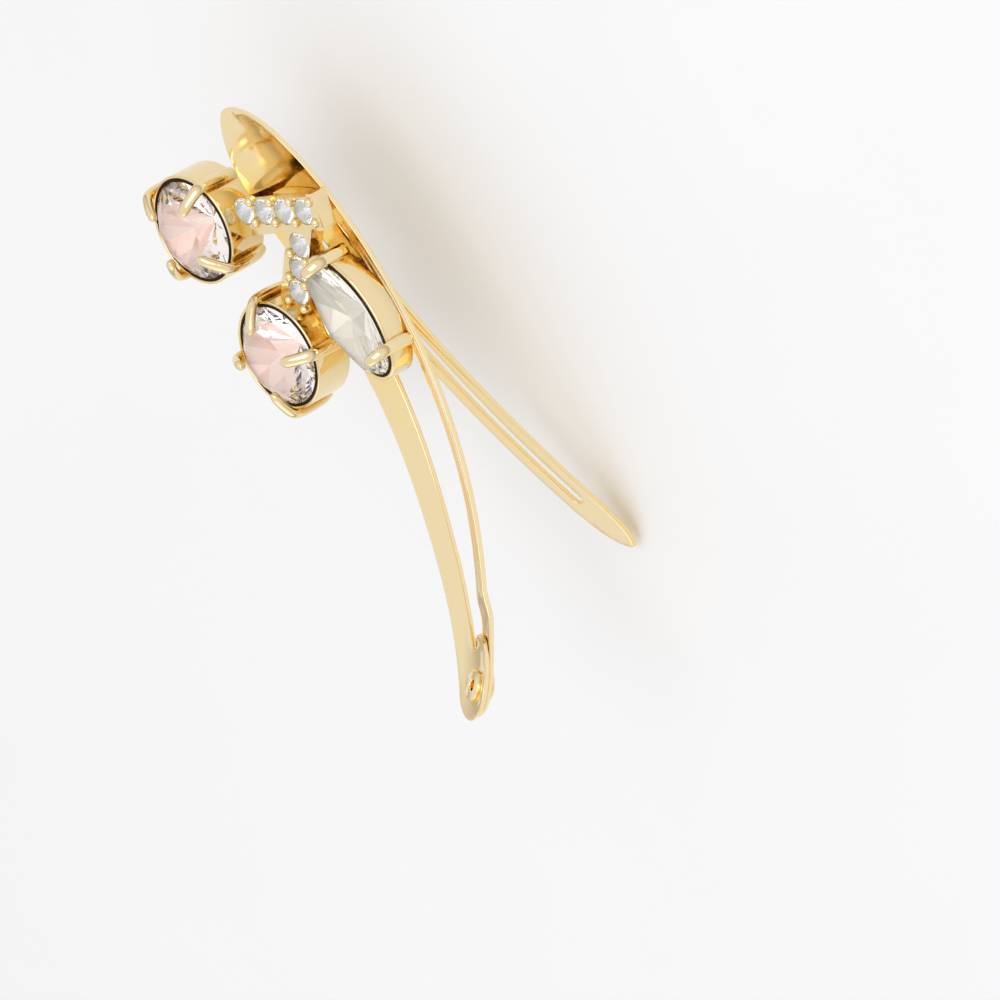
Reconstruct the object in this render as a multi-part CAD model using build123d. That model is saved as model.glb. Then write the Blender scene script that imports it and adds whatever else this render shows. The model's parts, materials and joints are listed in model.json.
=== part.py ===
from build123d import *
import os
from math import atan2, cos, degrees, hypot, radians, sin, sqrt

# Snap hair clip with a stone-set ornament, in its open state. Millimetres.
# X runs along the clip from the wide end to the riveted tip, Y across it, Z up on the ornament side.
# Everything is drawn from the lowest point of the bowed clip's upper face, on its centre line.
# On saving, the parts are moved so that the middle of the whole clip's bounding box is the origin.

# Stamped spring-steel clip
SHEET = 0.4
BOW_RADIUS = 52.0            # bow along the clip, hollow side up
DISH_RADIUS = 10.0           # hollow across the clip
WIDE_END = -16.3
ROOT = -4.4                  # where the legs and the tongue leave the plate
TIP = 33.2
HALF_WIDTH = 4.7
TAB_CENTRE = 30.5
FAR_TAB_HALF_WIDTH = 2.3
NEAR_TAB_HALF_WIDTH = 2.0     # narrower, so that it lies hidden under the far tab
TAB_DROP = 0.43              # the near leg's tab steps down to lie under the far leg's tab
STEP_START = 25.2
STEP_END = 27.5
FLEXURE_GAP = 0.2            # space at each bending line, so that the legs and tongue can turn

# Opening between the legs, and the tongue that lies in it
OPENING_HALF = 2.05
NOTCH = 28.3
NOTCH_HALF = 0.45
TONGUE_HALF = 1.6
TONGUE_TIP = 28.1
TONGUE_RADIUS = 125.0
TONGUE_DROOP = 6.5           # degrees below level at the root
SLOT_WIDTH = 1.0
SLOT_START = 0.0
SLOT_END = 23.2

# Eyelet through both tabs
EYELET_X = 31.0
EYELET_BARREL = 0.65
EYELET_BORE = 0.42
EYELET_FLANGE = 1.2
FLANGE_HEIGHT = 0.22

# Ornament: its own level sits above the plate and leans towards +Y
SEAT_HEIGHT = 1.1
ORNAMENT_LEAN = -4.5
UPPER_CUP = (-10.3, -9.3)
LOWER_CUP = (1.4, -8.3)
CUP_RADIUS = 4.5
CUP_WALL = 0.25
CUP_BOTTOM = -0.2
CUP_RIM = 3.3
UPPER_CLAW_ANGLES = (27, 117, 207, 297)
LOWER_CLAW_ANGLES = (70, 160, 250, 340)
CLAW_WIDTH = 1.1
ROUND_RADIUS = 4.1
ROUND_GIRDLE = 2.95
ROUND_TABLE_RADIUS = 2.3
ROUND_CROWN = 1.5

NAVETTE_CENTRE = (2.4, 1.45)
NAVETTE_TURN = 4.0
NAVETTE_HALF_LENGTH = 5.5
NAVETTE_HALF_WIDTH = 3.1
NAVETTE_END_RADIUS = 2.1
NAVETTE_WALL = 0.35
NAVETTE_BOTTOM = 0.5
NAVETTE_RIM = 2.8
NAVETTE_CLAWS = (-4.5, 3.8)

PAVE_RADIUS = 1.04
PAVE_TOP = 2.2
ARM_BOTTOM = 0.85
ARM_HALF_WIDTH = 1.3
LONG_ARM = ((-9.1, -3.75), (0.40, 0.917), 2.4, 4)     # first stone, direction, pitch, stones
SHORT_ARM = ((-4.4, 0.1), (0.637, -0.771), 2.17, 3)

BOX_MIDDLE = (8.45, -4.3766, 1.7527)     # middle of the bounding box, from the drawing's own origin

os.makedirs("parts", exist_ok=True)


def prism(plan, low, high):
    """A plan face in the XY plane, made a solid from z = low to z = high."""
    return extrude(Pos(0, 0, low) * plan, amount=high - low, dir=(0, 0, 1))


def circle_at(centre, radius):
    return Pos(centre[0], centre[1], 0) * Circle(radius)


def strip(start, end, half_width):
    """A straight strip in the XY plane from start to end."""
    length = hypot(end[0] - start[0], end[1] - start[1])
    turn = degrees(atan2(end[1] - start[1], end[0] - start[0]))
    middle = Pos((start[0] + end[0]) / 2, (start[1] + end[1]) / 2, 0)
    return middle * Rot(0, 0, turn) * Rectangle(length, 2 * half_width)


# ---- the stamped clip ----

def bowed(section):
    """Sweeps a section drawn across the clip right round the bow's centre."""
    return revolve(section, Axis((0, 0, BOW_RADIUS), (0, 1, 0)), 360)


def dished_sheet(top=0.0, thickness=SHEET):
    """A full ring of sheet, dished across and bowed along, whose upper face lies top below the clip's face."""
    half = 5.5
    upper_radius = DISH_RADIUS + top
    lower_radius = upper_radius + thickness
    upper_edge = DISH_RADIUS - sqrt(upper_radius**2 - half**2)
    lower_edge = DISH_RADIUS - sqrt(lower_radius**2 - half**2)
    upper = ThreePointArc((0, -half, upper_edge), (0, 0, -top), (0, half, upper_edge))
    lower = ThreePointArc((0, half, lower_edge), (0, 0, -top - thickness), (0, -half, lower_edge))
    sides = [Line(upper @ 1, lower @ 0), Line(lower @ 1, upper @ 0)]
    section = make_face([upper, sides[0], lower, sides[1]])
    return bowed(section)


def hollow_space():
    """Everything inside the dish, above the clip's upper face."""
    return bowed(Plane.YZ * Pos(0, DISH_RADIUS, 0) * Circle(DISH_RADIUS))


def tab_half_width(side):
    return NEAR_TAB_HALF_WIDTH if side > 0 else FAR_TAB_HALF_WIDTH


def outer_half(side):
    """Plan of one half of the clip, side = 1 for +Y and -1 for -Y, up to the middle of the tabs."""
    tab = tab_half_width(side)
    edge = Spline(
        [(WIDE_END, 0), (-13.4, side * 3.3), (-7, side * HALF_WIDTH), (6, side * 4.5),
         (18, side * 3.95), (26, side * (tab + 0.65)), (TAB_CENTRE, side * tab)],
        tangents=[(0, side), (1, -side * 0.12)],
    )
    across = Line(edge @ 1, (TAB_CENTRE, 0))
    back = Line((TAB_CENTRE, 0), (WIDE_END, 0))
    return make_face([edge, across, back])


def opening():
    """Plan of the long opening between the legs."""
    points = [(ROOT, 2.05), (8, OPENING_HALF), (18, 1.85), (24, 1.2), (NOTCH, NOTCH_HALF)]
    near = Spline(points)
    far = Spline([(x, -y) for x, y in reversed(points)])
    end = ThreePointArc(near @ 1, (NOTCH + NOTCH_HALF, 0), far @ 0)
    back = Line(far @ 1, near @ 0)
    return make_face([near, end, far, back])


def eyelet_place():
    """Frame on the far tab's upper face at the eyelet, with local Z along the sheet's normal."""
    height = BOW_RADIUS - sqrt(BOW_RADIUS**2 - EYELET_X**2)
    slope = degrees(atan2(EYELET_X, BOW_RADIUS - height))
    return Location((EYELET_X, 0, height), (0, -slope, 0))


def plate():
    whole = outer_half(1) + outer_half(-1)
    solid_end = Pos((WIDE_END + ROOT) / 2, 0, 0) * Rectangle(ROOT - WIDE_END, 20)
    return dished_sheet() & prism(whole & solid_end, -3, 8)


def leg_plan(side):
    """Plan of one leg with its round tab at the tip."""
    start = ROOT + FLEXURE_GAP
    beyond_root = Pos((start + TIP) / 2, side * 5, 0) * Rectangle(TIP - start, 10)
    tab = Pos(TAB_CENTRE, 0, 0) * Ellipse(TIP - TAB_CENTRE, tab_half_width(side))
    return (outer_half(side) & beyond_root) + tab - opening()


def between(start, end):
    return Pos((start + end) / 2, 0, 0) * Rectangle(end - start, 20)


def eyelet_hole():
    return eyelet_place() * Cylinder(EYELET_BARREL + 0.05, 6)


def far_leg():
    return (dished_sheet() & prism(leg_plan(-1), -3, 16)) - eyelet_hole()


def near_leg():
    """The near leg steps down by a little more than the sheet before its tab."""
    plan = leg_plan(1)
    rear = dished_sheet() & prism(plan & between(ROOT, STEP_END), -3, 16)
    tab = dished_sheet(TAB_DROP) & prism(plan & between(STEP_START, TIP + 1), -3, 16)
    step = dished_sheet(0, TAB_DROP + SHEET) & prism(plan & between(STEP_START, STEP_END), -3, 16)
    return rear + step + tab - eyelet_hole()


def tongue_plan():
    start = ROOT + FLEXURE_GAP
    shoulder = TONGUE_TIP - 4.5
    near = Spline(
        [(shoulder, TONGUE_HALF), (TONGUE_TIP - 1.6, 1.2), (TONGUE_TIP, 0)],
        tangents=[(1, 0), (0, -1)],
    )
    far = Spline(
        [(TONGUE_TIP, 0), (TONGUE_TIP - 1.6, -1.2), (shoulder, -TONGUE_HALF)],
        tangents=[(0, -1), (-1, 0)],
    )
    sides = [
        Line((shoulder, -TONGUE_HALF), (start, -TONGUE_HALF)),
        Line((start, -TONGUE_HALF), (start, TONGUE_HALF)),
        Line((start, TONGUE_HALF), (shoulder, TONGUE_HALF)),
    ]
    outline = make_face([near, far, *sides])
    slot = Pos((SLOT_START + SLOT_END) / 2, 0, 0) * SlotOverall(SLOT_END - SLOT_START, SLOT_WIDTH)
    return outline - slot


def tongue():
    """The centre tongue: a strip that bends down and away from the frame."""
    root_height = BOW_RADIUS - sqrt(BOW_RADIUS**2 - ROOT**2)
    centre_x = ROOT - TONGUE_RADIUS * sin(radians(TONGUE_DROOP))
    centre_z = root_height - TONGUE_RADIUS * cos(radians(TONGUE_DROOP))
    ring = Cylinder(TONGUE_RADIUS, 10) - Cylinder(TONGUE_RADIUS - SHEET, 10)
    sheet = Pos(centre_x, 0, centre_z) * Rot(90, 0, 0) * ring
    return sheet & prism(tongue_plan(), -14, 4)


def tip_eyelet():
    """A tubular eyelet through both tabs, with a flange rolled over at each end."""
    top = 0.08
    bottom = -1.0
    barrel = Pos(0, 0, (top + bottom) / 2) * Cylinder(EYELET_BARREL, top - bottom)
    upper = Pos(0, 0, top + FLANGE_HEIGHT / 2) * Cylinder(EYELET_FLANGE, FLANGE_HEIGHT)
    lower = Pos(0, 0, bottom - FLANGE_HEIGHT / 2) * Cylinder(EYELET_FLANGE, FLANGE_HEIGHT)
    bore = Cylinder(EYELET_BORE, 6)
    return eyelet_place() * (barrel + upper + lower - bore)


# ---- the ornament, drawn on its own level and then set on the plate ----

ORNAMENT = Location((0, 0, SEAT_HEIGHT), (ORNAMENT_LEAN, 0, 0))


def revolved(points):
    """Turns a closed outline of (radius, height) points about the Z axis."""
    return revolve(make_face(Polyline([(r, 0, z) for r, z in points], close=True)), Axis.Z, 360)


def claw(wall, rim, reach, width):
    """A claw on a wall whose outer face is at x = wall: up the wall and bent inwards over the stone."""
    outline = Polyline(
        [
            (wall - 0.1, 0, CUP_BOTTOM + 0.1),
            (wall + 0.55, 0, CUP_BOTTOM + 0.5),
            (wall + 0.55, 0, rim + 0.2),
            (wall + 0.15, 0, rim + 0.9),
            (wall - reach + 0.4, 0, rim + 1.75),
            (wall - reach, 0, rim + 1.45),
            (wall - reach + 0.3, 0, rim + 1.1),
            (wall - 0.3, 0, rim),
            (wall - 0.1, 0, rim - 0.3),
        ],
        close=True,
    )
    return extrude(make_face(outline), amount=width / 2, both=True)


def cup(centre, claw_angles):
    """A round open-backed setting with a thin rim, a tapered seat and four claws."""
    inner = CUP_RADIUS - CUP_WALL
    bowl = revolved(
        [
            (1.2, CUP_BOTTOM),
            (CUP_RADIUS - 0.4, CUP_BOTTOM),
            (CUP_RADIUS, CUP_BOTTOM + 0.4),
            (CUP_RADIUS, CUP_RIM),
            (inner, CUP_RIM),
            (inner, ROUND_GIRDLE - 0.35),
            (1.2, CUP_BOTTOM + 0.35),
        ]
    )
    claws = [Rot(0, 0, angle) * claw(CUP_RADIUS, CUP_RIM, 1.55, CLAW_WIDTH) for angle in claw_angles]
    return ORNAMENT * Pos(centre[0], centre[1], 0) * (bowl + claws)


def round_stone(centre):
    """A round brilliant outline: table, crown, thin girdle and pavilion."""
    crown_base = ROUND_GIRDLE + 0.2
    stone = revolved(
        [
            (0, 0.35),
            (0.4, 0.35),
            (ROUND_RADIUS, ROUND_GIRDLE - 0.1),
            (ROUND_RADIUS, crown_base),
            (ROUND_TABLE_RADIUS, crown_base + ROUND_CROWN),
            (0, crown_base + ROUND_CROWN),
        ]
    )
    return ORNAMENT * Pos(centre[0], centre[1], 0) * stone


def oval(inset):
    """Oval of four tangent arcs: two long side arcs and two tight end arcs, drawn inset from the setting's wall."""
    a = NAVETTE_HALF_LENGTH - inset
    b = NAVETTE_HALF_WIDTH - inset
    r = NAVETTE_END_RADIUS - inset
    reach = a - r
    side = (reach**2 + b**2 - r**2) / (2 * (b - r))
    along = side * reach / (side - r)
    across = sqrt(side**2 - along**2) - (side - b)
    arcs = [
        ThreePointArc((-along, across), (0, b), (along, across)),
        ThreePointArc((along, across), (a, 0), (along, -across)),
        ThreePointArc((along, -across), (0, -b), (-along, -across)),
        ThreePointArc((-along, -across), (-a, 0), (-along, across)),
    ]
    return make_face(arcs)


NAVETTE = Location((NAVETTE_CENTRE[0], NAVETTE_CENTRE[1], 0), (0, 0, NAVETTE_TURN))


def navette_setting():
    """A tall smooth wall round the long stone, with a claw near each end of its outer side."""
    outer = prism(oval(0), NAVETTE_BOTTOM, NAVETTE_RIM)
    pocket = prism(oval(NAVETTE_WALL), NAVETTE_BOTTOM + 0.3, NAVETTE_RIM + 1)
    claws = []
    for along in NAVETTE_CLAWS:
        wall = wall_offset(along)
        rise = NAVETTE_BOTTOM + 0.1
        outline = Polyline(
            [
                (0, wall - 0.2, rise),
                (0, wall + 0.5, rise + 0.3),
                (0, wall + 0.45, NAVETTE_RIM + 0.2),
                (0, wall - 0.1, NAVETTE_RIM + 1.0),
                (0, wall - 1.1, NAVETTE_RIM + 1.65),
                (0, wall - 1.8, NAVETTE_RIM + 1.6),
                (0, wall - 1.8, NAVETTE_RIM + 1.22),
                (0, wall - 1.3, NAVETTE_RIM + 1.2),
                (0, wall - 0.3, NAVETTE_RIM),
            ],
            close=True,
        )
        claws.append(Pos(along, 0, 0) * extrude(make_face(outline), amount=0.55, both=True))
    return ORNAMENT * NAVETTE * (outer - pocket + claws)


def wall_offset(along):
    """Distance of the oval wall's outer face from the long axis at a place along it."""
    reach = NAVETTE_HALF_LENGTH - NAVETTE_END_RADIUS
    side = (reach**2 + NAVETTE_HALF_WIDTH**2 - NAVETTE_END_RADIUS**2) / (
        2 * (NAVETTE_HALF_WIDTH - NAVETTE_END_RADIUS)
    )
    if abs(along) <= side * reach / (side - NAVETTE_END_RADIUS):
        return sqrt(side**2 - along**2) - (side - NAVETTE_HALF_WIDTH)
    return sqrt(NAVETTE_END_RADIUS**2 - (abs(along) - reach) ** 2)


def navette_stone():
    """The long stone: a table, a sloping crown, a girdle and a keel-shaped back."""
    inset = NAVETTE_WALL + 0.1
    girdle = NAVETTE_RIM - 0.15
    layers = [(inset + 1.6, girdle - 1.5), (inset, girdle - 0.15), (inset, girdle), (inset + 0.9, girdle + 1.3)]
    solids = []
    for (inset_low, low), (inset_high, high) in zip(layers, layers[1:]):
        solids.append(loft([Pos(0, 0, low) * oval(inset_low), Pos(0, 0, high) * oval(inset_high)]))
    return ORNAMENT * NAVETTE * (solids[0] + solids[1:])


def seat_centres(arm):
    """Centres of the small stones along one arm."""
    (x, y), (dx, dy), pitch, count = arm
    return [(x + i * pitch * dx, y + i * pitch * dy) for i in range(count)]


def small_stone(centre):
    stone = revolved(
        [
            (0, PAVE_TOP - 1.1),
            (PAVE_RADIUS, PAVE_TOP - 0.2),
            (PAVE_RADIUS, PAVE_TOP - 0.05),
            (0.55, PAVE_TOP + 0.3),
            (0, PAVE_TOP + 0.3),
        ]
    )
    return ORNAMENT * Pos(centre[0], centre[1], 0) * stone


def branch():
    """The V-shaped branch: two arms with stone seats, a plain block at the end of the long arm, and a web."""
    long_seats = seat_centres(LONG_ARM)
    short_seats = seat_centres(SHORT_ARM)
    dx, dy = LONG_ARM[1]
    block_end = (long_seats[-1][0] + 1.75 * dx, long_seats[-1][1] + 1.75 * dy)
    arms = prism(strip(UPPER_CUP, block_end, ARM_HALF_WIDTH), ARM_BOTTOM, PAVE_TOP)
    arms += prism(strip((-6.4, 2.6), LOWER_CUP, ARM_HALF_WIDTH), ARM_BOTTOM, PAVE_TOP)
    block_start = (block_end[0] - 0.65 * dx, block_end[1] - 0.65 * dy)
    block = prism(strip(block_start, block_end, ARM_HALF_WIDTH + 0.2), ARM_BOTTOM, PAVE_TOP + 0.15)
    web = prism(strip((-1.5, -3.4), (3.0, -2.6), 1.4), ARM_BOTTOM, ARM_BOTTOM + 0.7)
    body = arms + block + web
    for centre, claw_angles in ((UPPER_CUP, UPPER_CLAW_ANGLES), (LOWER_CUP, LOWER_CLAW_ANGLES)):
        body -= prism(circle_at(centre, CUP_RADIUS), -2, 6)
        body -= Pos(centre[0], centre[1], 0) * claw_space(claw_angles)
    body -= NAVETTE * prism(oval(0), -2, 6)
    for centre in long_seats + short_seats:
        body -= Pos(centre[0], centre[1], 0) * seat_bore()
    return ORNAMENT * body


def claw_space(claw_angles):
    """Room for the claws of a cup where an arm meets it."""
    boxes = [
        Rot(0, 0, angle) * Pos(CUP_RADIUS + 0.1, 0, 2) * Box(1.0, CLAW_WIDTH + 0.02, 8)
        for angle in claw_angles
    ]
    return boxes[0] + boxes[1:]


def seat_bore():
    """Tapered seat for a small stone, a hair larger than the stone."""
    return revolved(
        [(0, PAVE_TOP - 1.2), (PAVE_RADIUS + 0.04, PAVE_TOP - 0.25), (PAVE_RADIUS + 0.04, 5), (0, 5)]
    )


def solder_pad():
    """Solder between the long arm and the hollow of the plate."""
    seats = seat_centres(LONG_ARM)
    plan = strip(seats[1], seats[3], 1.0)
    block = ORNAMENT * prism(plan, -3, ARM_BOTTOM)
    return block & hollow_space()


def save(name, shape):
    x, y, z = BOX_MIDDLE
    export_step(Pos(-x, -y, -z) * shape, f"parts/{name}.step")


save("plate", plate())
save("far_leg", far_leg())
save("near_leg", near_leg())
save("tongue", tongue())
save("tip_eyelet", tip_eyelet())
save("solder_pad", solder_pad())
save("branch", branch())
save("upper_cup", cup(UPPER_CUP, UPPER_CLAW_ANGLES))
save("lower_cup", cup(LOWER_CUP, LOWER_CLAW_ANGLES))
save("navette_setting", navette_setting())
save("upper_round_stone", round_stone(UPPER_CUP))
save("lower_round_stone", round_stone(LOWER_CUP))
save("navette_stone", navette_stone())
for index, place in enumerate(seat_centres(LONG_ARM) + seat_centres(SHORT_ARM), start=1):
    save(f"small_stone_{index}", small_stone(place))
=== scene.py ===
import json
import math

import bmesh
import bpy
from mathutils import Matrix, Vector
from mathutils.geometry import delaunay_2d_cdt


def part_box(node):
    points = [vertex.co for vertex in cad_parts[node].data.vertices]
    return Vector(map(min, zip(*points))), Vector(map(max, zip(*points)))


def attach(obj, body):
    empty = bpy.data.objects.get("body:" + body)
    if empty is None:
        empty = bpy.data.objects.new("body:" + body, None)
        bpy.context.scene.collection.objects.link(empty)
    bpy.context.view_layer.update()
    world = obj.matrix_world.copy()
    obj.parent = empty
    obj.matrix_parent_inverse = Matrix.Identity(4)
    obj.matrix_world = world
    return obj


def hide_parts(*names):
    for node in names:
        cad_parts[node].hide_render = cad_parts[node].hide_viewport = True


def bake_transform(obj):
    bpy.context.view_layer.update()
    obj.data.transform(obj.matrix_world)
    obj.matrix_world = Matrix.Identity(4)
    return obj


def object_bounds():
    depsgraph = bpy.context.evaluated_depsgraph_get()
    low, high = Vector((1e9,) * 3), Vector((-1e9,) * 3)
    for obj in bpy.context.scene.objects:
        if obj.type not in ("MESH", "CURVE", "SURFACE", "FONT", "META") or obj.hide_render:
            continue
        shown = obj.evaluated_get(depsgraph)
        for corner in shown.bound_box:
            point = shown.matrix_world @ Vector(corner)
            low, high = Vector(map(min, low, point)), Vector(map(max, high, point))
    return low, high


# Snap hair clip with a stone-set ornament. Lengths below are in millimetres. X runs from the wide end to
# the riveted tip, Y across the clip, Z up on the ornament side, all measured from the lowest point of the
# bowed clip's upper face. CLIP_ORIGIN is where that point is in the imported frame.
MM = 0.001

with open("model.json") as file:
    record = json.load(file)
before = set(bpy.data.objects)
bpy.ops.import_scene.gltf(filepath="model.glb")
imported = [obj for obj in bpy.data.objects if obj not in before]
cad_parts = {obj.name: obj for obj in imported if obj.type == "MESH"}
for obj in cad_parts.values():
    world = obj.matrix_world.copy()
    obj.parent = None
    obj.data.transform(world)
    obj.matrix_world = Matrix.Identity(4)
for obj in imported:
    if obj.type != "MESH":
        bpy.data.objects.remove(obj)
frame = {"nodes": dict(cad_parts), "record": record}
cad_low, cad_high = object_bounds()


def sheet_height(x, y, below):
    """Height of the bowed and dished sheet at a place in plan, a distance below its upper face."""
    bow = BOW_RADIUS - DISH_RADIUS + math.sqrt((DISH_RADIUS + below) ** 2 - y**2)
    return BOW_RADIUS - math.sqrt(bow**2 - x**2)


# Stamped sheet
SHEET = 0.4
BOW_RADIUS = 52.0
DISH_RADIUS = 10.0
WIDE_END = -16.3
OPENING_HALF = 2.05

plate_low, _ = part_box("plate")
leg_low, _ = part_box("far_leg")
tongue_low, tongue_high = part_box("tongue")
CLIP_ORIGIN = Vector((
    plate_low.x / MM - WIDE_END,
    (tongue_low.y + tongue_high.y) / 2 / MM,
    leg_low.z / MM - sheet_height(0, OPENING_HALF, SHEET),
))


def side_of(node, corner, axis):
    """One side of a CAD node's box, measured from the clip's own origin."""
    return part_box(node)[corner][axis] / MM - CLIP_ORIGIN[axis]


ROOT = side_of("plate", 1, 0)
TIP = side_of("far_leg", 1, 0)
TONGUE_END = side_of("tongue", 1, 0)
TONGUE_HALF = side_of("tongue", 1, 1)
TAB_LENGTH = 2.7
TAB_CENTRE = TIP - TAB_LENGTH
TAB_HALF = {1: 2.0, -1: 2.3}          # near tab, far tab
TAB_DROP = 0.43
STEP_START = 25.2
STEP_END = 27.5
SHOULDER = 26.0               # where the outer edge starts to narrow into the tab
SHOULDER_EXTRA = 0.65
NOTCH = 28.3
NOTCH_HALF = 0.45
OUTER_EDGE = [(-13.4, 3.3), (-7.0, 4.7), (6.0, 4.5), (18.0, 3.95)]
OPENING_EDGE = [(ROOT, OPENING_HALF), (8.0, OPENING_HALF), (18.0, 1.85), (24.0, 1.2), (NOTCH, NOTCH_HALF)]
EYELET_HOLE = 0.75            # plan radius of the hole in each tab
EYELET_SHIFT = 0.27           # the bore leans, so the holes lie this far back from its middle
EDGE_ROUND = 0.1
MESH_STEP = 0.45

# Tongue
TONGUE_RADIUS = 125.0
TONGUE_DROOP = math.radians(6.5)
SLOT_START = 0.0
SLOT_END = 23.2
SLOT_HALF = 0.5

# Ornament level
SEAT_HEIGHT = 1.1
LEAN = math.radians(-4.5)
ORNAMENT = Matrix.Translation((0, 0, SEAT_HEIGHT)) @ Matrix.Rotation(LEAN, 4, "X")

# Round settings
CUPS = {"upper": ((-10.3, -9.3), (27, 117, 207, 297)), "lower": ((1.4, -8.3), (70, 160, 250, 340))}
CUP_RADIUS = 4.5
CUP_WALL = 0.25
CUP_BOTTOM = -0.2
CUP_RIM = 3.3
CUP_BACK_HOLE = 1.2
CLAW_HALF_WIDTH = 0.62
ROUND_RADIUS = 4.1
ROUND_GIRDLE = 2.95
ROUND_TABLE_RADIUS = 2.3
ROUND_CROWN = 1.5

# Long setting
NAVETTE_PLACE = Matrix.Translation((2.4, 1.45, 0)) @ Matrix.Rotation(math.radians(4.0), 4, "Z")
NAVETTE_HALF_LENGTH = 5.5
NAVETTE_HALF_WIDTH = 3.1
NAVETTE_END_RADIUS = 2.1
NAVETTE_WALL = 0.35
NAVETTE_BOTTOM = 0.5
NAVETTE_RIM = 2.8
NAVETTE_CLAWS = (-4.5, 3.8)
OVAL_STEPS = 120

FOIL_GAP = 0.03
# Offset of the painted gap shade rings from their settings' centres.
GAP_SHADE_SHIFT = 0.09

# Small stones
PAVE_RADIUS = 1.04
PAVE_TOP = 2.2
BEAD_OFFSET = 0.84
LONG_ARM = ((-9.1, -3.75), (0.40, 0.917), 2.4, 4)
SHORT_ARM = ((-4.4, 0.1), (0.637, -0.771), 2.17, 3)

# Camera, at the photograph's viewing angle
CAMERA_AZIMUTH = math.radians(177.0)
CAMERA_ELEVATION = math.radians(31.3)
CAMERA_ROLL = math.radians(-120.1)
CAMERA_AIM = (19.86, -0.67, -0.59)
CAMERA_DISTANCE = 600.0
PICTURE_WIDTH = 75.9
SENSOR_WIDTH = 36.0

# Stage, in metres
FLOOR_HALF = 1.5
FLOOR_GAP = 0.0006
LIGHT_DISTANCE = 0.4


# ---- materials ----

def new_material(name):
    material = bpy.data.materials.new(name)
    material.use_nodes = True
    tree = material.node_tree
    return material, tree, tree.nodes["Principled BSDF"]


def add_node(tree, kind, **values):
    node = tree.nodes.new(kind)
    for key, value in values.items():
        setattr(node, key, value)
    return node


def noise(tree, scale, detail=4.0):
    """Noise in object space; scale is in features per metre."""
    place = add_node(tree, "ShaderNodeTexCoord")
    texture = add_node(tree, "ShaderNodeTexNoise")
    texture.inputs["Scale"].default_value = scale
    texture.inputs["Detail"].default_value = detail
    tree.links.new(place.outputs["Object"], texture.inputs["Vector"])
    return texture.outputs["Fac"]


def spread(tree, value, low, high):
    """Maps a 0 to 1 value onto low to high."""
    node = add_node(tree, "ShaderNodeMapRange")
    node.inputs["To Min"].default_value = low
    node.inputs["To Max"].default_value = high
    tree.links.new(value, node.inputs["Value"])
    return node.outputs["Result"]


def two_colours(tree, value, first, second, start=0.0, end=1.0):
    ramp = add_node(tree, "ShaderNodeValToRGB")
    ramp.color_ramp.elements[0].position = start
    ramp.color_ramp.elements[0].color = (*first, 1)
    ramp.color_ramp.elements[1].position = end
    ramp.color_ramp.elements[1].color = (*second, 1)
    tree.links.new(value, ramp.inputs["Fac"])
    return ramp.outputs["Color"]


def gold(name, pale, deep, roughness, relief, relief_scale, shade_and_relief_reach):
    """Gold plate: deeper in colour where sheltered, a painted shade standing in for shade and gold reflecting
    gold, and rough from casting there; polished elsewhere.
    """
    material, tree, shader = new_material(name)
    shader.inputs["Metallic"].default_value = 1.0
    shade_and_relief_mask = add_node(tree, "ShaderNodeAmbientOcclusion", samples=8)
    shade_and_relief_mask.inputs["Distance"].default_value = shade_and_relief_reach * MM
    # Painted shade: sheltered places take the deep colour, as shade and gold-on-gold reflection would darken
    # them.
    colour = two_colours(tree, shade_and_relief_mask.outputs["AO"], deep, pale, 0.30, 0.95)
    tree.links.new(colour, shader.inputs["Base Color"])
    smears = spread(tree, noise(tree, 260.0), roughness * 0.6, roughness * 1.5)
    tree.links.new(smears, shader.inputs["Roughness"])
    bump = add_node(tree, "ShaderNodeBump")
    bump.inputs["Distance"].default_value = 0.08 * MM
    tree.links.new(noise(tree, relief_scale, 6.0), bump.inputs["Height"])
    strength = add_node(tree, "ShaderNodeMapRange")
    strength.inputs["From Min"].default_value = 0.3
    strength.inputs["From Max"].default_value = 0.8
    strength.inputs["To Min"].default_value = relief
    strength.inputs["To Max"].default_value = relief * 0.06
    tree.links.new(shade_and_relief_mask.outputs["AO"], strength.inputs["Value"])
    tree.links.new(strength.outputs["Result"], bump.inputs["Strength"])
    tree.links.new(bump.outputs["Normal"], shader.inputs["Normal"])
    return material


def cut_glass(name, colour, cloud, glow):
    """Clear cut glass with faint cloudy veils inside; glow is the light scattered within it."""
    material, tree, shader = new_material(name)
    shader.inputs["Transmission Weight"].default_value = 1.0
    shader.inputs["IOR"].default_value = 1.45
    shader.inputs["Emission Color"].default_value = (*colour, 1)
    shader.inputs["Emission Strength"].default_value = glow
    paler = tuple(1 - (1 - c) * 0.4 for c in colour)
    tree.links.new(two_colours(tree, noise(tree, 420.0), colour, paler), shader.inputs["Base Color"])
    tree.links.new(spread(tree, noise(tree, 900.0), 0.0, cloud), shader.inputs["Roughness"])
    return material


def painted_facet_flash(tree):
    """One value per flat facet, from the facet's own direction: painted flashes, each facet lighter or darker
    as reflections would make it.
    """
    facing = add_node(tree, "ShaderNodeNewGeometry")
    texture = add_node(tree, "ShaderNodeTexNoise")
    texture.inputs["Scale"].default_value = 2.7
    texture.inputs["Detail"].default_value = 2.0
    tree.links.new(facing.outputs["True Normal"], texture.inputs["Vector"])
    return texture.outputs["Fac"]


def foil(name, deep, pale, glow):
    """Satin foil whose facets take painted tones by their direction, painted reflections and flashes; glow
    stands in for light scattered within the stone.
    """
    material, tree, shader = new_material(name)
    shader.inputs["Metallic"].default_value = 0.5
    tone = two_colours(tree, painted_facet_flash(tree), deep, pale, 0.40, 0.58)
    tree.links.new(tone, shader.inputs["Base Color"])
    tree.links.new(tone, shader.inputs["Emission Color"])
    shader.inputs["Roughness"].default_value = 0.35
    shader.inputs["Emission Strength"].default_value = glow
    return material


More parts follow.
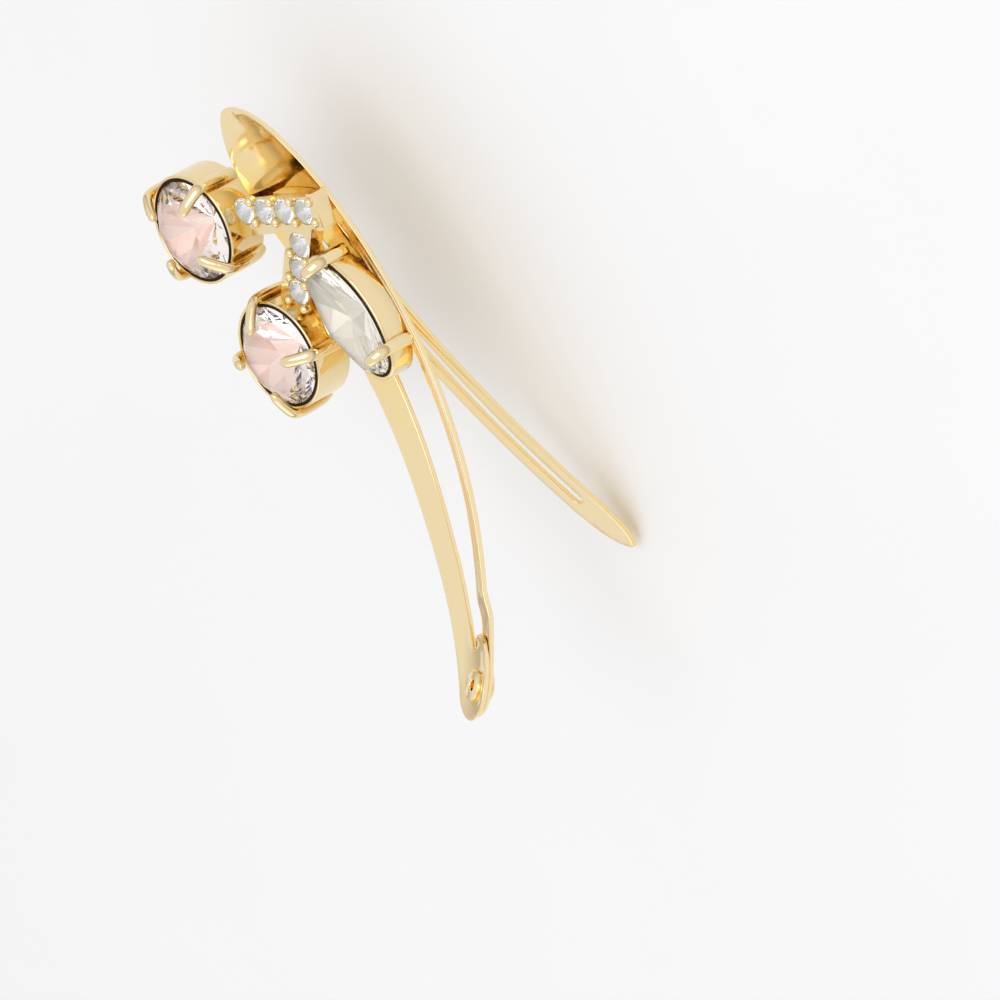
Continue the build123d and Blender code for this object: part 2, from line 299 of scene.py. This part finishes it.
def dark_cement():
    """Painted shade: a brown-black band standing for the shadow in the narrow gap between a rim and its
    stone.
    """
    material, tree, shader = new_material("dark_cement")
    mottled_shade = two_colours(tree, noise(tree, 2600.0), (0.010, 0.005, 0.002), (0.05, 0.022, 0.007))
    tree.links.new(mottled_shade, shader.inputs["Base Color"])
    shader.inputs["Roughness"].default_value = 0.7
    shader.inputs["Specular IOR Level"].default_value = 0.15
    return material


# The deeper colour of each gold is painted shade for its sheltered hollows and the gaps between parts.
STAMPED_GOLD = gold("stamped_gold", (0.94, 0.77, 0.465), (1.0, 0.71, 0.22), 0.10, 0.10, 1500.0, 9.0)
CAST_GOLD = gold("cast_gold", (0.90, 0.73, 0.43), (0.82, 0.56, 0.14), 0.08, 1.0, 3200.0, 1.6)
PINK_GLASS = cut_glass("pink_glass", (1.0, 0.91, 0.87), 0.02, 0.015)
MILKY_GLASS = cut_glass("milky_glass", (0.92, 0.87, 0.77), 0.10, 0.03)
CLEAR_GLASS = cut_glass("clear_glass", (0.97, 0.97, 0.98), 0.01, 0.03)
# The foils' spread from the deep colour to near white by facet direction is painted flashes; the deep pink or
# grey is the foil's own colour.
PINK_FOIL = foil("pink_foil", (0.88, 0.64, 0.57), (1.0, 0.95, 0.93), 0.10)
SILVER_FOIL = foil("silver_foil", (0.62, 0.63, 0.62), (0.98, 0.98, 0.98), 0.08)
# Painted shade for the dark gaps between the rims and their stones.
GAP_SHADE = dark_cement()
STONE_LOOKS = {
    "pink_glass": (PINK_GLASS, PINK_FOIL),
    "milky_glass": (MILKY_GLASS, SILVER_FOIL),
    "clear_glass": (CLEAR_GLASS, SILVER_FOIL),
}


# ---- mesh helpers ----

def packed(point):
    """A place measured from the clip's own origin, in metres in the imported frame."""
    return (Vector(point) + CLIP_ORIGIN) * MM


def make_piece(name, body, material, points, faces, sharp=35.0, place=None):
    """A mesh piece from points in millimetres, riding on a CAD body unless body is None."""
    if place is not None:
        points = [place @ Vector(p) for p in points]
    mesh = bpy.data.meshes.new(name)
    mesh.from_pydata([packed(p) for p in points], [], faces)
    work = bmesh.new()
    work.from_mesh(mesh)
    bmesh.ops.recalc_face_normals(work, faces=work.faces)
    work.to_mesh(mesh)
    work.free()
    mesh.shade_smooth()
    mesh.set_sharp_from_angle(angle=math.radians(sharp))
    mesh.materials.append(material)
    piece = bpy.data.objects.new(name, mesh)
    bpy.context.collection.objects.link(piece)
    if body:
        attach(piece, body)
    return piece


def bridge(first, second, count):
    """Quads between two closed rings of count points that start at these indices."""
    return [
        (first + i, first + (i + 1) % count, second + (i + 1) % count, second + i) for i in range(count)
    ]


def stack_rings(rings, closed=False):
    """Points and faces of a skin over rings of equal length; closed joins the last ring to the first."""
    count = len(rings[0])
    points = [p for ring in rings for p in ring]
    faces = []
    for i in range(len(rings) - 1):
        faces += bridge(i * count, (i + 1) * count, count)
    if closed:
        faces += bridge((len(rings) - 1) * count, 0, count)
    else:
        faces.append(tuple(range(count)))
        faces.append(tuple(range((len(rings) - 1) * count, len(rings) * count)))
    return points, faces


def arc(centre, radius, start, end, steps):
    """Points on an arc in a profile plane, angles in degrees."""
    angles = [math.radians(start + (end - start) * i / steps) for i in range(steps + 1)]
    return [(centre[0] + radius * math.cos(a), centre[1] + radius * math.sin(a)) for a in angles]


def curve_through(points, steps=10):
    """Catmull-Rom curve through plane points."""
    ends = [Vector(points[0]) * 2 - Vector(points[1])] + [Vector(p) for p in points]
    ends.append(Vector(points[-1]) * 2 - Vector(points[-2]))
    curve = []
    for a, b, c, d in zip(ends, ends[1:], ends[2:], ends[3:]):
        for i in range(steps):
            t = i / steps
            square = 2 * a - 5 * b + 4 * c - d
            cube = 3 * b - a - 3 * c + d
            curve.append(0.5 * (2 * b + (c - a) * t + square * t**2 + cube * t**3))
    curve.append(ends[-2])
    return [tuple(p) for p in curve]


# ---- stamped sheet ----

def tongue_height(x, y, below):
    root_height = BOW_RADIUS - math.sqrt(BOW_RADIUS**2 - ROOT**2)
    centre_x = ROOT - TONGUE_RADIUS * math.sin(TONGUE_DROOP)
    centre_z = root_height - TONGUE_RADIUS * math.cos(TONGUE_DROOP)
    return centre_z + math.sqrt((TONGUE_RADIUS - below) ** 2 - (x - centre_x) ** 2)


def dropped_height(x, y, below):
    """The near leg steps down before its tab."""
    t = min(max((x - STEP_START) / (STEP_END - STEP_START), 0), 1)
    return sheet_height(x, y, below + TAB_DROP * t * t * (3 - 2 * t))


def resample(loop, step):
    """Points about one step apart round a closed plane loop, with every given point kept."""
    result = []
    for p, q in zip(loop, loop[1:] + loop[:1]):
        length = math.dist(p, q)
        pieces = max(1, round(length / step))
        for i in range(pieces):
            t = i / pieces
            result.append((p[0] + (q[0] - p[0]) * t, p[1] + (q[1] - p[1]) * t))
    return result


def inside(point, loops):
    """Even-odd test, so that the loops after the first are holes."""
    x, y = point
    odd = False
    for loop in loops:
        for (ax, ay), (bx, by) in zip(loop, loop[1:] + loop[:1]):
            if (ay > y) != (by > y) and x < ax + (y - ay) * (bx - ax) / (by - ay):
                odd = not odd
    return odd


def inward(loop, amount):
    """A plane loop moved into the sheet, which lies on its left; points on the root line stay on it."""
    moved = []
    for before, here, after in zip(loop[-1:] + loop[:-1], loop, loop[1:] + loop[:1]):
        along = (Vector(after) - Vector(before)).normalized()
        x = here[0] - along.y * amount
        if abs(here[0] - ROOT) < 0.01:
            x = here[0]
        moved.append((x, here[1] + along.x * amount))
    return moved


def with_sheet_on_left(loop, is_hole):
    area = sum(ax * by - bx * ay for (ax, ay), (bx, by) in zip(loop, loop[1:] + loop[:1]))
    return loop if (area > 0) != is_hole else loop[::-1]


def fill_plan(rims):
    """Even triangles over a plan: the rim points first, then a regular grid inside."""
    points = []
    edges = []
    for rim in rims:
        first = len(points)
        points += rim
        edges += [(first + i, first + (i + 1) % len(rim)) for i in range(len(rim))]
    rim_points = list(points)
    low_x = min(p[0] for p in rim_points)
    high_x = max(p[0] for p in rim_points)
    low_y = min(p[1] for p in rim_points)
    high_y = max(p[1] for p in rim_points)
    row = 0
    y = low_y
    while y < high_y:
        x = low_x + (row % 2) * MESH_STEP / 2
        while x < high_x:
            near = min(math.dist((x, y), p) for p in rim_points)
            if near > 0.6 * MESH_STEP and inside((x, y), rims):
                points.append((x, y))
            x += MESH_STEP
        y += MESH_STEP * 0.866
        row += 1
    result = delaunay_2d_cdt([Vector(p) for p in points], edges, [], 0, 1e-5)
    plan = [tuple(p) for p in result[0]]
    triangles = []
    for face in result[2]:
        middle = (sum(plan[i][0] for i in face) / 3, sum(plan[i][1] for i in face) / 3)
        if inside(middle, rims):
            triangles.append(tuple(face))
    return plan, triangles


def sheet_piece(name, node, loops, height):
    """Sheet metal over a plan: two faces, and a rounded edge of rings between them round every loop."""
    full_rims = [with_sheet_on_left(resample(loop, MESH_STEP), k > 0) for k, loop in enumerate(loops)]
    plan, triangles = fill_plan([inward(rim, EDGE_ROUND) for rim in full_rims])
    count = len(plan)
    points = [(x, y, height(x, y, 0.0)) for x, y in plan]
    points += [(x, y, height(x, y, SHEET)) for x, y in plan]
    faces = list(triangles) + [tuple(i + count for i in reversed(face)) for face in triangles]
    turns = [math.radians(30), math.radians(60), math.radians(90)]
    steps = [(EDGE_ROUND * (1 - math.sin(a)), EDGE_ROUND * (1 - math.cos(a))) for a in turns]
    steps += [(inset, SHEET - below) for inset, below in reversed(steps)]
    first_rim = 0
    for rim in full_rims:
        ring_starts = [first_rim]
        for inset, below in steps:
            ring_starts.append(len(points))
            points += [(x, y, height(x, y, below)) for x, y in inward(rim, inset)]
        ring_starts.append(first_rim + count)
        for upper, lower in zip(ring_starts, ring_starts[1:]):
            faces += bridge(upper, lower, len(rim))
        first_rim += len(rim)
    piece = make_piece(name, None, STAMPED_GOLD, points, faces, 60)
    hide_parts(node)
    return piece


def outer_edge(side):
    """One outer edge from the root to the tab's middle."""
    tab = TAB_HALF[side]
    full = curve_through([(WIDE_END, 0)] + OUTER_EDGE + [(SHOULDER, tab + SHOULDER_EXTRA), (TAB_CENTRE, tab)])
    return [(x, side * y) for x, y in full if x > ROOT]


def height_at(edge, x):
    """Half width of an edge curve at x."""
    for (ax, ay), (bx, by) in zip(edge, edge[1:]):
        if ax <= x <= bx:
            return ay + (by - ay) * (x - ax) / (bx - ax)
    return edge[-1][1]


def plate_plan():
    back = curve_through([(x, -y) for x, y in reversed(OUTER_EDGE[:3])] + [(WIDE_END, 0)] + OUTER_EDGE[:3])
    half = [p for p in back if p[0] <= ROOT]
    return [(ROOT, half[0][1])] + half + [(ROOT, half[-1][1])]


def leg_plan(side):
    """One leg, its round tab and the notch that ends the opening."""
    outer = outer_edge(side)
    start = (ROOT, outer[0][1])
    inner = curve_through(OPENING_EDGE)
    tab = []
    for i in range(1, 60):
        angle = math.radians(90 - 180 * i / 40)
        point = (TAB_CENTRE + TAB_LENGTH * math.cos(angle), side * TAB_HALF[side] * math.sin(angle))
        crossed = point[0] < NOTCH and abs(point[1]) < height_at(inner, point[0])
        if crossed:
            break
        tab.append(point)
    meeting = tab[-1][0]
    far_side = [(x, -side * y) for x, y in inner if x > meeting]
    end = [
        (NOTCH + NOTCH_HALF * math.cos(a), -side * NOTCH_HALF * math.sin(a))
        for a in [math.radians(d) for d in range(75, -90, -15)]
    ]
    near_side = [(x, side * y) for x, y in reversed(inner)]
    return [start] + outer + tab + far_side + end + near_side


def eyelet_hole_plan():
    """The eyelet's barrel passes through the tabs at this plan circle, drawn out along the slope."""
    centre = frame["record"]["mounts"][0]["pos_m"][0] / MM - CLIP_ORIGIN.x - EYELET_SHIFT
    angles = [math.tau * i / 24 for i in range(24)]
    return [(centre + EYELET_HOLE * math.cos(a), EYELET_HOLE * math.sin(a)) for a in angles]


def tongue_plan():
    """Long strip with a surfboard tip."""
    shoulder = TONGUE_END - 4.5
    tip = curve_through([(shoulder, TONGUE_HALF), (TONGUE_END - 1.6, 1.2), (TONGUE_END, 0),
                         (TONGUE_END - 1.6, -1.2), (shoulder, -TONGUE_HALF)])
    return [(ROOT, TONGUE_HALF)] + tip + [(ROOT, -TONGUE_HALF)]


def slot_plan():
    front = arc((SLOT_END - SLOT_HALF, 0), SLOT_HALF, -90, 90, 8)
    back = arc((SLOT_START + SLOT_HALF, 0), SLOT_HALF, 90, 270, 8)
    return front + back


def stamped_pieces():
    plate = sheet_piece("plate_sheet", "plate", [plate_plan()], sheet_height)
    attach(plate, "clip_base")
    for name, side, height in (("far_leg", -1, sheet_height), ("near_leg", 1, dropped_height)):
        leg = sheet_piece(name + "_sheet", name, [leg_plan(side), eyelet_hole_plan()], height)
        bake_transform(leg)
    tongue = sheet_piece("tongue_sheet", "tongue", [tongue_plan(), slot_plan()], tongue_height)
    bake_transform(tongue)


def eyelet():
    """A tubular eyelet with rolled flanges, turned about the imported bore's axis."""
    mount = frame["record"]["mounts"][0]
    axis = Vector(mount["axis"])
    bore = mount["dims"]["r_mm"]
    half = mount["dims"]["length_mm"] / 2
    roll = 0.16
    flange = 1.2
    profile = [(bore, -half + roll), (bore, half - roll)]
    profile += arc((bore + roll, half - roll), roll, 180, 60, 6)
    profile += arc((flange - roll, half - 1.2 * roll), roll, 80, -90, 6)
    profile += [(0.65, half - 2.2 * roll), (0.65, -half + 2.2 * roll)]
    profile += arc((flange - roll, -half + 1.2 * roll), roll, 90, -80, 6)
    profile += arc((bore + roll, -half + roll), roll, -60, -180, 6)
    middle = Vector(mount["pos_m"]) / MM - CLIP_ORIGIN
    place = Matrix.Translation(middle) @ axis.to_track_quat("Z", "Y").to_matrix().to_4x4()
    points, faces = lathe(profile, closed=True, segments=48)
    piece = make_piece("tip_eyelet_rolled", "frame_loop", STAMPED_GOLD, points, faces, 50, place)
    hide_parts("tip_eyelet")


# ---- settings ----

def lathe(profile, closed, segments=96):
    """Turns a profile of (radius, height) about Z."""
    rings = []
    for radius, height in profile:
        angles = [math.tau * i / segments for i in range(segments)]
        rings.append([(radius * math.cos(a), radius * math.sin(a), height) for a in angles])
    return stack_rings(rings, closed)


def finger(path, half_width, half_depth):
    """A rounded bar along a path in the XZ plane, drawn in to a blunt round at its last point."""
    count = 16
    rings = []
    curve = curve_through(path, 8)
    lengths = [0.0]
    for p, q in zip(curve, curve[1:]):
        lengths.append(lengths[-1] + math.dist(p, q))
    for i, (x, z) in enumerate(curve):
        before = curve[max(i - 1, 0)]
        after = curve[min(i + 1, len(curve) - 1)]
        along = Vector((after[0] - before[0], after[1] - before[1])).normalized()
        left = lengths[-1] - lengths[i]
        blunt = math.sqrt(max(0.02, 1 - max(0, 1 - left / half_width) ** 2))
        taper = blunt * (0.72 + 0.28 * left / lengths[-1])
        ring = []
        for k in range(count):
            a = math.tau * k / count
            across = half_width * taper * math.cos(a)
            out = half_depth * (0.4 + 0.6 * taper) * math.sin(a)
            ring.append((x + along.y * out, across, z - along.x * out))
        rings.append(ring)
    return stack_rings(rings)


def merge(parts):
    """Joins (points, faces, place) parts into one list of points and faces."""
    points = []
    faces = []
    for part_points, part_faces, place in parts:
        first = len(points)
        points += [tuple(place @ Vector(p)) for p in part_points]
        faces += [tuple(i + first for i in face) for face in part_faces]
    return points, faces


def round_setting(name, centre, claw_angles):
    """Open-backed cup with a thin rounded rim and four finger claws."""
    inner = CUP_RADIUS - CUP_WALL
    lip = CUP_WALL / 2
    profile = [(CUP_BACK_HOLE, CUP_BOTTOM), (CUP_RADIUS - 0.5, CUP_BOTTOM)]
    profile += arc((CUP_RADIUS - 0.4, CUP_BOTTOM + 0.4), 0.4, -80, 0, 6)
    profile += [(CUP_RADIUS, 1.0), (CUP_RADIUS, 2.2)]
    profile += arc((CUP_RADIUS - lip, CUP_RIM - lip), lip, 0, 180, 8)
    profile += [(inner, ROUND_GIRDLE - 0.35), (CUP_BACK_HOLE, CUP_BOTTOM + 0.35)]
    parts = [(*lathe(profile, closed=True), Matrix.Identity(4))]
    reach = CUP_RADIUS
    path = [(reach - 0.05, CUP_BOTTOM + 0.35), (reach + 0.22, 1.0), (reach + 0.3, CUP_RIM - 0.5),
            (reach + 0.12, CUP_RIM + 0.45), (reach - 0.6, CUP_RIM + 1.05), (reach - 1.4, CUP_RIM + 1.5),
            (reach - 2.1, CUP_RIM + 1.72)]
    for angle in claw_angles:
        parts.append((*finger(path, CLAW_HALF_WIDTH, 0.42), Matrix.Rotation(math.radians(angle), 4, "Z")))
    place = ORNAMENT @ Matrix.Translation((*centre, 0))
    piece = make_piece(name + "_cup_setting", "clip_base", CAST_GOLD, *merge(parts), 50, place)
    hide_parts(name + "_cup")


def oval_point(angle, inset):
    """Point of the four-arc oval whose wall faces along this angle."""
    reach = NAVETTE_HALF_LENGTH - NAVETTE_END_RADIUS
    side = (reach**2 + NAVETTE_HALF_WIDTH**2 - NAVETTE_END_RADIUS**2) / (
        2 * (NAVETTE_HALF_WIDTH - NAVETTE_END_RADIUS)
    )
    c = math.cos(angle)
    s = math.sin(angle)
    if abs(c) > reach / (side - NAVETTE_END_RADIUS):
        return (math.copysign(reach, c) + (NAVETTE_END_RADIUS - inset) * c, (NAVETTE_END_RADIUS - inset) * s)
    return ((side - inset) * c, (side - inset) * s - math.copysign(side - NAVETTE_HALF_WIDTH, s))


def wall_place(along):
    """Distance of the oval's outer wall from its long axis."""
    for degree in range(90):
        x, y = oval_point(math.radians(degree), 0)
        if x <= abs(along):
            return y
    return NAVETTE_HALF_WIDTH


def navette_setting():
    lip = NAVETTE_WALL / 2
    profile = [(1.0, NAVETTE_BOTTOM), (0.25, NAVETTE_BOTTOM), (0.0, NAVETTE_BOTTOM + 0.25), (0.0, 1.6)]
    profile += [(lip - x, z) for x, z in arc((0, NAVETTE_RIM - lip), lip, 0, 180, 8)]
    profile += [(NAVETTE_WALL, NAVETTE_BOTTOM + 0.6), (1.0, NAVETTE_BOTTOM + 0.3)]
    rings = []
    for inset, z in profile:
        rings.append([(*oval_point(math.tau * i / OVAL_STEPS, inset), z) for i in range(OVAL_STEPS)])
    points, faces = stack_rings(rings)
    parts = [(points, faces, Matrix.Identity(4))]
    for along in NAVETTE_CLAWS:
        wall = wall_place(along)
        path = [(wall + 0.02, NAVETTE_BOTTOM + 0.3), (wall + 0.16, 1.4), (wall + 0.12, NAVETTE_RIM),
                (wall - 0.35, NAVETTE_RIM + 0.9), (wall - 1.1, NAVETTE_RIM + 1.38),
                (wall - 1.7, NAVETTE_RIM + 1.4)]
        place = Matrix.Translation((along, 0, 0)) @ Matrix.Rotation(math.radians(90), 4, "Z")
        parts.append((*finger(path, 0.6, 0.34), place))
    piece = make_piece("navette_wall", "clip_base", CAST_GOLD, *merge(parts), 50, ORNAMENT @ NAVETTE_PLACE)
    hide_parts("navette_setting")


def gap_shade_rings():
    """Painted shade: a dark band just inside each rim, standing for the shadowed gap by the stone; the stones
    sit off centre, so it is wider on the near side.
    """
    band = [(-0.12, -0.30), (-0.12, -0.14), (0.10, -0.10), (0.20, -0.04), (0.24, -0.10), (0.16, -0.30)]
    for name, (centre, _) in CUPS.items():
        profile = [(CUP_RADIUS - CUP_WALL - inset, CUP_RIM + z) for inset, z in band]
        place = ORNAMENT @ Matrix.Translation((centre[0], centre[1] - GAP_SHADE_SHIFT, 0))
        piece = make_piece(name + "_cement", "clip_base", GAP_SHADE, *lathe(profile, closed=True), 50, place)
    rings = []
    for inset, z in band:
        edge = [oval_point(math.tau * i / OVAL_STEPS, NAVETTE_WALL + inset) for i in range(OVAL_STEPS)]
        rings.append([(x, y, NAVETTE_RIM + z) for x, y in edge])
    points, faces = stack_rings(rings, closed=True)
    place = ORNAMENT @ Matrix.Translation((0, -GAP_SHADE_SHIFT, 0)) @ NAVETTE_PLACE
    piece = make_piece("navette_cement", "clip_base", GAP_SHADE, points, faces, 50, place)


# ---- stones ----

def circle_point(radius):
    return lambda angle, inset: ((radius - inset) * math.cos(angle), (radius - inset) * math.sin(angle))


def crown(shape, table_inset, girdle, top, turn):
    """Table, stars, kites and upper girdle facets over eight sides."""
    step = math.tau / 8
    table = [(*shape(turn + step * i, table_inset), top) for i in range(8)]
    middle_height = girdle + (top - girdle) * 0.55
    middle = [(*shape(turn + step * (i + 0.5), table_inset * 0.5), middle_height) for i in range(8)]
    rim = [(*shape(turn + step * i / 2, 0), girdle) for i in range(16)]
    points = table + middle + rim
    faces = [tuple(range(8))]
    for i in range(8):
        j = (i + 1) % 8
        faces.append((i, j, 8 + i))
        faces.append((i, 8 + i, 16 + 2 * i, 8 + (i - 1) % 8))
        faces.append((8 + i, 16 + 2 * i + 1, 16 + 2 * i))
        faces.append((8 + i, 16 + (2 * i + 2) % 16, 16 + 2 * i + 1))
    return points, faces


def cut_stone(name, node, shape, table_inset, heights, place, slot, turn):
    """A faceted stone over a faceted foil: heights are culet, lower girdle, upper girdle and table."""
    glass, backing = STONE_LOOKS[slot]
    culet, low, high, top = heights
    upper_points, upper_faces = crown(shape, table_inset, high, top, turn)
    points = list(upper_points)
    faces = list(upper_faces)
    rim = [(*shape(turn + math.tau * i / 16, 0), low) for i in range(16)]
    first = len(points)
    points += rim
    faces += [(16 + i, 16 + (i + 1) % 16, first + (i + 1) % 16, first + i) for i in range(16)]
    back_points, back_faces = pavilion(shape, low, culet, turn)
    faces += [tuple(i + first for i in face) for face in back_faces]
    points += back_points[16:]
    stone = make_piece(name, "clip_base", glass, points, faces, 1.0, place)
    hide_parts(node)
    lowered = [(x, y, z - FOIL_GAP) for x, y, z in back_points]
    collar = [(*shape(turn + math.tau * i / 16, -FOIL_GAP), high) for i in range(16)]
    foil_faces = back_faces + bridge(0, len(lowered), 16)
    back = make_piece(name + "_foil", "clip_base", backing, lowered + collar, foil_faces, 1.0, place)


def pavilion(shape, girdle, culet, turn):
    """Lower half of a stone: sixteen girdle facets and eight mains down to a small culet."""
    step = math.tau / 8
    rim = [(*shape(turn + step * i / 2, 0), girdle) for i in range(16)]
    deep = []
    for i in range(8):
        x, y = shape(turn + step * (i + 0.5), 0)
        deep.append((x * 0.45, y * 0.45, girdle + (culet - girdle) * 0.6))
    points = rim + deep + [(0, 0, culet)]
    faces = []
    for i in range(8):
        faces.append((2 * i, 2 * i + 1, 16 + i))
        faces.append((2 * i + 1, (2 * i + 2) % 16, 16 + i))
        faces.append((2 * i, 16 + i, 24, 16 + (i - 1) % 8))
    return points, faces


def stones():
    top = ROUND_GIRDLE + 0.2 + ROUND_CROWN
    heights = (0.6, ROUND_GIRDLE - 0.1, ROUND_GIRDLE + 0.2, top)
    for index, (name, (centre, _)) in enumerate(CUPS.items()):
        place = ORNAMENT @ Matrix.Translation((*centre, 0))
        turn = math.radians(12 + 17 * index)
        cut_stone(name + "_round_cut", name + "_round_stone", circle_point(ROUND_RADIUS),
                  ROUND_RADIUS - ROUND_TABLE_RADIUS, heights, place, "pink_glass", turn)
    girdle = NAVETTE_RIM - 0.15
    inset = NAVETTE_WALL + 0.1
    cut_stone("navette_cut", "navette_stone", lambda angle, more: oval_point(angle, inset + more),
              0.9, (girdle - 1.5, girdle - 0.15, girdle, girdle + 1.3), ORNAMENT @ NAVETTE_PLACE,
              "milky_glass", 0.0)
    small = (PAVE_TOP - 1.1, PAVE_TOP - 0.2, PAVE_TOP - 0.05, PAVE_TOP + 0.3)
    for index, centre in enumerate(seat_centres(LONG_ARM) + seat_centres(SHORT_ARM), start=1):
        place = ORNAMENT @ Matrix.Translation((*centre, 0))
        cut_stone(f"small_cut_{index}", f"small_stone_{index}", circle_point(PAVE_RADIUS), 0.45, small, place,
                  "clear_glass", math.radians(23 * index))


# ---- branch ----

def seat_centres(arm):
    (x, y), (dx, dy), pitch, count = arm
    return [(x + i * pitch * dx, y + i * pitch * dy) for i in range(count)]


def bead_prongs():
    """Raised beads along both edges of each arm, between the small stones."""
    dome = [(0.40, -0.25), (0.42, 0.0)] + arc((0, 0.05), 0.42, 10, 84, 6)
    parts = []
    for arm in (LONG_ARM, SHORT_ARM):
        (x, y), (dx, dy), pitch, count = arm
        for gap in range(count):
            for side in (-1, 1):
                along = (gap + 0.5) * pitch
                across = side * BEAD_OFFSET
                place = Vector((x + along * dx - across * dy, y + along * dy + across * dx, PAVE_TOP))
                parts.append((*lathe(dome, closed=False, segments=20), Matrix.Translation(place)))
    piece = make_piece("bead_prongs", "clip_base", CAST_GOLD, *merge(parts), 50, ORNAMENT)


def cad_metal():
    """The branch and the solder keep their CAD shape, with worn edges."""
    for name in ("branch", "solder_pad"):
        node = frame["nodes"][name]
        node.data.materials.clear()
        node.data.materials.append(CAST_GOLD)
        weld = node.modifiers.new("weld", "WELD")
        weld.merge_threshold = 0.002 * MM
        worn = node.modifiers.new("worn_edges", "BEVEL")
        worn.width = 0.09 * MM
        worn.segments = 3
        worn.limit_method = "ANGLE"
        worn.angle_limit = math.radians(35)


# ---- stage ----

def floor():
    half = FLOOR_HALF
    depth = cad_low.z - FLOOR_GAP
    points = [(-half, -half, depth), (half, -half, depth), (half, half, depth), (-half, half, depth)]
    mesh = bpy.data.meshes.new("floor")
    mesh.from_pydata(points, [], [(0, 1, 2, 3)])
    material, tree, shader = new_material("pale_floor")
    pale = two_colours(tree, noise(tree, 40.0), (0.89, 0.89, 0.90), (0.92, 0.92, 0.93))
    tree.links.new(pale, shader.inputs["Base Color"])
    shader.inputs["Roughness"].default_value = 0.7
    mesh.materials.append(material)
    plane = bpy.data.objects.new("floor", mesh)
    bpy.context.collection.objects.link(plane)


def soft_light(name, azimuth, elevation, size, power):
    """A square soft light aimed at the clip."""
    a = math.radians(azimuth)
    e = math.radians(elevation)
    back = Vector((math.sin(a) * math.cos(e), -math.cos(a) * math.cos(e), math.sin(e)))
    data = bpy.data.lights.new(name, "AREA")
    data.size = size
    data.energy = power
    light = bpy.data.objects.new(name, data)
    light.location = back * LIGHT_DISTANCE
    light.rotation_euler = back.to_track_quat("Z", "Y").to_euler()
    bpy.context.collection.objects.link(light)


def surroundings():
    """A pale room, bright overhead and duller towards the horizon, for polished metal to reflect."""
    world = bpy.data.worlds.new("room")
    world.use_nodes = True
    tree = world.node_tree
    place = add_node(tree, "ShaderNodeTexCoord")
    split = add_node(tree, "ShaderNodeSeparateXYZ")
    tree.links.new(place.outputs["Generated"], split.inputs["Vector"])
    shade = two_colours(tree, split.outputs["Z"], (0.61, 0.56, 0.49), (1.0, 1.0, 1.0), 0.05, 0.40)
    tree.links.new(shade, tree.nodes["Background"].inputs["Color"])
    tree.nodes["Background"].inputs["Strength"].default_value = 0.90
    bpy.context.scene.world = world
    bpy.context.scene.view_settings.view_transform = "Standard"


def camera():
    a = CAMERA_AZIMUTH
    e = CAMERA_ELEVATION
    back = Vector((math.sin(a) * math.cos(e), -math.cos(a) * math.cos(e), math.sin(e)))
    level = Vector((0, 0, 1)).cross(back).normalized()
    upright = back.cross(level)
    right = level * math.cos(CAMERA_ROLL) + upright * math.sin(CAMERA_ROLL)
    up = back.cross(right)
    data = bpy.data.cameras.new("camera")
    data.sensor_width = SENSOR_WIDTH
    data.lens = SENSOR_WIDTH * CAMERA_DISTANCE / PICTURE_WIDTH
    data.clip_start = 0.01
    eye = bpy.data.objects.new("camera", data)
    place = Matrix((right, up, back)).transposed().to_4x4()
    place.translation = packed(Vector(CAMERA_AIM) + back * CAMERA_DISTANCE)
    eye.matrix_world = place
    bpy.context.collection.objects.link(eye)
    bpy.context.scene.camera = eye


stamped_pieces()
eyelet()
for cup_name, (cup_centre, cup_claws) in CUPS.items():
    round_setting(cup_name, cup_centre, cup_claws)
navette_setting()
gap_shade_rings()
stones()
bead_prongs()
cad_metal()
floor()
surroundings()
soft_light("key", 200, 60, 0.25, 0.28)
soft_light("fill", 60, 35, 0.3, 0.12)
camera()

bpy.context.view_layer.update()
